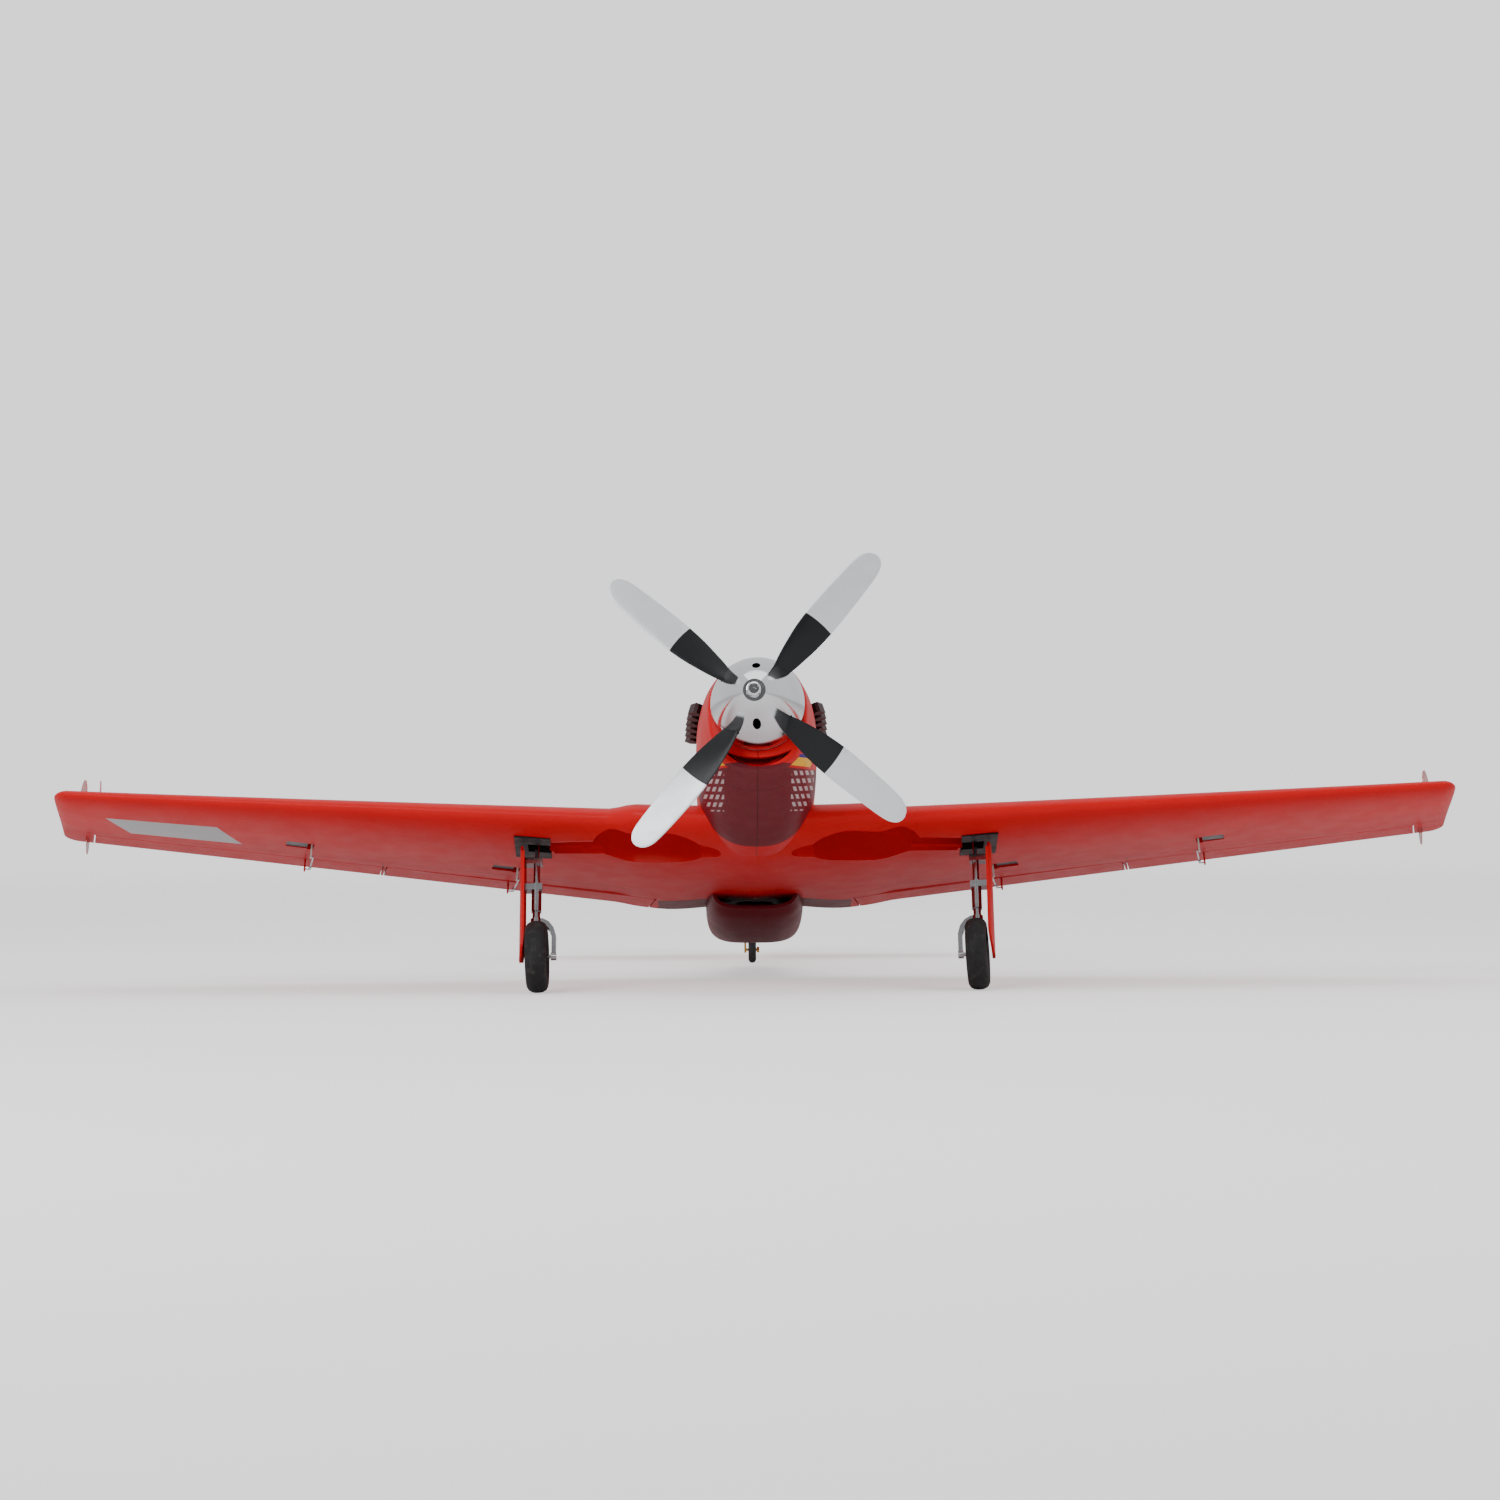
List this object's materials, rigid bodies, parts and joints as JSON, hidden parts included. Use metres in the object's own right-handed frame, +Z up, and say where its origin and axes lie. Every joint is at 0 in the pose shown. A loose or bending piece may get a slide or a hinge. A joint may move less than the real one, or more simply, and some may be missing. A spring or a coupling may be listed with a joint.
{
  "type": "rc foam airplane",
  "caption": "Foam racing airplane for radio control with a four-blade propeller, folding main gear, belly scoop and working control surfaces, standing tail-low.",
  "frame": {"origin": "on the ground under the middle of the overall box, with the airplane standing on its three wheels", "axes": "+X towards the left wing tip, -Y towards the nose, +Z up"},
  "size_m": [1.458, 1.2279, 0.4355],
  "materials": {
    "red_foam": "satin bright red paint over moulded foam",
    "maroon_foam": "satin dark maroon paint over moulded foam",
    "chrome": "mirror chrome",
    "blade": "satin black blades with silver outer halves",
    "black_plastic": "satin black",
    "canopy_clear": "clear, lightly smoked",
    "fence_clear": "clear red",
    "cockpit": "matt dark grey",
    "carbon": "satin carbon tube",
    "screw_steel": "bright steel",
    "alloy": "machined alloy",
    "copper": "enamelled copper windings",
    "plywood": "bare plywood",
    "battery_wrap": "blue shrink wrap",
    "grey_plastic": "satin dark grey",
    "white_plastic": "off-white nylon",
    "tyre": "matt black rubber",
    "steel_wire": "bright steel wire",
    "brass": "satin brass",
    "small_wheel": "black rubber on a grey hub"
  },
  "bodies": {
    "airframe": {"fuselage_left": "red_foam", "fuselage_right": "red_foam", "nose_ring": "red_foam", "canopy_glass": "canopy_clear", "canopy_frame": "red_foam", "cockpit_tub": "cockpit", "belly_scoop": "maroon_foam", "exhaust_stacks": "maroon_foam", "wing_left": "red_foam", "wing_right": "red_foam", "wing_spar": "carbon", "wing_bolts": "screw_steel", "wing_fences": "fence_clear", "stabilizer": "red_foam", "motor_stator": "copper", "motor_bearings": "alloy", "motor_mount": "alloy", "plywood_frame": "plywood", "battery": "battery_wrap", "speed_controller": "grey_plastic", "receiver": "grey_plastic", "retract_units": "black_plastic", "tail_gear_bracket": "black_plastic", "servos": "grey_plastic"},
    "hatch": {"hatch_deck": "red_foam"},
    "propeller": {"spinner": "chrome", "spinner_backplate": "black_plastic", "prop_nut": "chrome", "prop_blades": "blade", "motor_bell": "alloy"},
    "aileron_left": {"aileron_left": "red_foam"},
    "aileron_right": {"aileron_right": "red_foam"},
    "flap_left": {"flap_left": "red_foam"},
    "flap_right": {"flap_right": "red_foam"},
    "elevator": {"elevator": "red_foam"},
    "rudder": {"rudder": "red_foam"},
    "arm_aileron_left": {"arm_aileron_left": "white_plastic"},
    "arm_aileron_right": {"arm_aileron_right": "white_plastic"},
    "arm_flap_left": {"arm_flap_left": "white_plastic"},
    "arm_flap_right": {"arm_flap_right": "white_plastic"},
    "arm_elevator": {"arm_elevator": "white_plastic"},
    "arm_rudder": {"arm_rudder": "white_plastic"},
    "pushrod_aileron_left": {"pushrod_aileron_left": "steel_wire"},
    "pushrod_aileron_right": {"pushrod_aileron_right": "steel_wire"},
    "pushrod_flap_left": {"pushrod_flap_left": "steel_wire"},
    "pushrod_flap_right": {"pushrod_flap_right": "steel_wire"},
    "pushrod_elevator": {"pushrod_elevator": "steel_wire"},
    "pushrod_rudder": {"pushrod_rudder": "steel_wire"},
    "leg_left": {"strut_left": "chrome", "gear_door_left": "red_foam"},
    "fork_left": {"oleo_fork_left": "chrome"},
    "wheel_left": {"wheel_hub_left": "alloy", "tyre_left": "tyre"},
    "leg_right": {"strut_right": "chrome", "gear_door_right": "red_foam"},
    "fork_right": {"oleo_fork_right": "chrome"},
    "wheel_right": {"wheel_hub_right": "alloy", "tyre_right": "tyre"},
    "tail_steer": {"tail_gear_fork": "brass"},
    "tail_wheel": {"tail_wheel": "small_wheel"}
  },
  "joints": [
    {"name": "propeller_spin", "type": "hinge", "parent": "airframe", "child": "propeller", "pos_m": [0, -0.5338, 0.29], "axis": [-0.0523, -0.9835, 0.1733], "continuous": true},
    {"name": "hatch_lift", "type": "slide", "parent": "airframe", "child": "hatch", "axis": [0, 0.225, 0.9744], "range_m": [0, 0.06]},
    {"name": "aileron_left", "type": "hinge", "parent": "airframe", "child": "aileron_left", "pos_m": [0.394, -0.11071, 0.1298], "axis": [0.9856, -0.1259, 0.1127], "range_deg": [-25, 25]},
    {"name": "aileron_right", "type": "hinge", "parent": "airframe", "child": "aileron_right", "pos_m": [-0.394, -0.11071, 0.1298], "axis": [-0.9856, -0.1259, 0.1127], "range_deg": [-25, 25]},
    {"name": "arm_aileron_left", "type": "hinge", "parent": "airframe", "child": "arm_aileron_left", "pos_m": [0.46583, -0.17862, 0.15336], "axis": [0.9856, -0.1259, 0.1127], "range_deg": [-25, 25]},
    {"name": "arm_aileron_right", "type": "hinge", "parent": "airframe", "child": "arm_aileron_right", "pos_m": [-0.46583, -0.17862, 0.15336], "axis": [-0.9856, -0.1259, 0.1127], "range_deg": [-25, 25]},
    {"name": "pushrod_aileron_left", "type": "hinge", "parent": "aileron_left", "child": "pushrod_aileron_left", "pos_m": [0.47619, -0.12505, 0.12258], "axis": [0.9856, -0.1259, 0.1127], "range_deg": [-25, 25]},
    {"name": "pushrod_aileron_right", "type": "hinge", "parent": "aileron_right", "child": "pushrod_aileron_right", "pos_m": [-0.47619, -0.12505, 0.12258], "axis": [-0.9856, -0.1259, 0.1127], "range_deg": [-25, 25]},
    {"name": "flap_left", "type": "hinge", "parent": "airframe", "child": "flap_left", "pos_m": [0.106, -0.0728, 0.09413], "axis": [-0.9838, 0.1308, -0.1224], "range_deg": [0, 45]},
    {"name": "flap_right", "type": "hinge", "parent": "airframe", "child": "flap_right", "pos_m": [-0.106, -0.0728, 0.09413], "axis": [-0.9838, -0.1308, 0.1224], "range_deg": [0, 45]},
    {"name": "arm_flap_left", "type": "hinge", "parent": "airframe", "child": "arm_flap_left", "pos_m": [0.25202, -0.15098, 0.12778], "axis": [-0.9838, 0.1308, -0.1224], "range_deg": [0, 45]},
    {"name": "arm_flap_right", "type": "hinge", "parent": "airframe", "child": "arm_flap_right", "pos_m": [-0.25202, -0.15098, 0.12778], "axis": [-0.9838, -0.1308, 0.1224], "range_deg": [0, 45]},
    {"name": "pushrod_flap_left", "type": "hinge", "parent": "flap_left", "child": "pushrod_flap_left", "pos_m": [0.26295, -0.09751, 0.09703], "axis": [-0.9838, 0.1308, -0.1224], "range_deg": [-45, 0]},
    {"name": "pushrod_flap_right", "type": "hinge", "parent": "flap_right", "child": "pushrod_flap_right", "pos_m": [-0.26295, -0.09751, 0.09703], "axis": [-0.9838, -0.1308, 0.1224], "range_deg": [-45, 0]},
    {"name": "elevator", "type": "hinge", "parent": "airframe", "child": "elevator", "pos_m": [0, 0.50218, 0.09188], "axis": [1, 0, 0], "range_deg": [-25, 25]},
    {"name": "arm_elevator", "type": "hinge", "parent": "airframe", "child": "arm_elevator", "pos_m": [0.022, 0.38871, 0.08934], "axis": [1, 0, 0], "range_deg": [-25, 25]},
    {"name": "pushrod_elevator", "type": "hinge", "parent": "elevator", "child": "pushrod_elevator", "pos_m": [0.022, 0.49836, 0.07531], "axis": [1, 0, 0], "range_deg": [-25, 25]},
    {"name": "rudder", "type": "hinge", "parent": "airframe", "child": "rudder", "pos_m": [0, 0.53201, 0.05215], "axis": [0, 0.225, 0.9744], "range_deg": [-30, 30]},
    {"name": "arm_rudder", "type": "hinge", "parent": "airframe", "child": "arm_rudder", "pos_m": [-0.013, 0.3498, 0.09421], "axis": [0, 0.225, 0.9744], "range_deg": [-30, 30]},
    {"name": "pushrod_rudder", "type": "hinge", "parent": "rudder", "child": "pushrod_rudder", "pos_m": [-0.017, 0.53201, 0.05215], "axis": [0, 0.225, 0.9744], "range_deg": [-30, 30]},
    {"name": "tail_steer", "type": "hinge", "parent": "airframe", "child": "tail_steer", "pos_m": [0, 0.3085, 0.04422], "axis": [0, 0.225, 0.9744], "range_deg": [-30, 30]},
    {"name": "tail_wheel_spin", "type": "hinge", "parent": "tail_steer", "child": "tail_wheel", "pos_m": [0, 0.31407, 0.015], "axis": [1, 0, 0], "continuous": true},
    {"name": "gear_left", "type": "hinge", "parent": "airframe", "child": "leg_left", "pos_m": [0.225, -0.25439, 0.15776], "axis": [0, 0.9744, -0.225], "range_deg": [0, 87.5]},
    {"name": "gear_right", "type": "hinge", "parent": "airframe", "child": "leg_right", "pos_m": [-0.225, -0.25439, 0.15776], "axis": [0, -0.9744, 0.225], "range_deg": [0, 87.5]},
    {"name": "oleo_left", "type": "slide", "parent": "leg_left", "child": "fork_left", "axis": [0, 0.4863, 0.8738], "range_m": [0, 0.008], "stiffness_N_per_m": 2500, "springref_m": -0.008},
    {"name": "wheel_spin_left", "type": "hinge", "parent": "fork_left", "child": "wheel_left", "pos_m": [0.22381, -0.32175, 0.03643], "axis": [0.9925, -0.1065, 0.0593], "continuous": true},
    {"name": "oleo_right", "type": "slide", "parent": "leg_right", "child": "fork_right", "axis": [0, 0.4863, 0.8738], "range_m": [0, 0.008], "stiffness_N_per_m": 2500, "springref_m": -0.008},
    {"name": "wheel_spin_right", "type": "hinge", "parent": "fork_right", "child": "wheel_right", "pos_m": [-0.2238, -0.32191, 0.03652], "axis": [-0.9994, 0.0305, -0.017], "continuous": true}
  ],
  "couplings": [
    {"joint": "aileron_right", "follows": "aileron_left", "ratio": 1},
    {"joint": "arm_aileron_left", "follows": "aileron_left", "ratio": 1},
    {"joint": "arm_aileron_right", "follows": "aileron_left", "ratio": 1},
    {"joint": "pushrod_aileron_left", "follows": "aileron_left", "ratio": -1},
    {"joint": "pushrod_aileron_right", "follows": "aileron_left", "ratio": -1},
    {"joint": "flap_right", "follows": "flap_left", "ratio": 1},
    {"joint": "arm_flap_left", "follows": "flap_left", "ratio": 1},
    {"joint": "arm_flap_right", "follows": "flap_left", "ratio": 1},
    {"joint": "pushrod_flap_left", "follows": "flap_left", "ratio": -1},
    {"joint": "pushrod_flap_right", "follows": "flap_left", "ratio": -1},
    {"joint": "arm_elevator", "follows": "elevator", "ratio": 1},
    {"joint": "pushrod_elevator", "follows": "elevator", "ratio": -1},
    {"joint": "arm_rudder", "follows": "rudder", "ratio": 1},
    {"joint": "pushrod_rudder", "follows": "rudder", "ratio": -1},
    {"joint": "tail_steer", "follows": "rudder", "ratio": 1},
    {"joint": "gear_right", "follows": "gear_left", "ratio": 1}
  ]
}
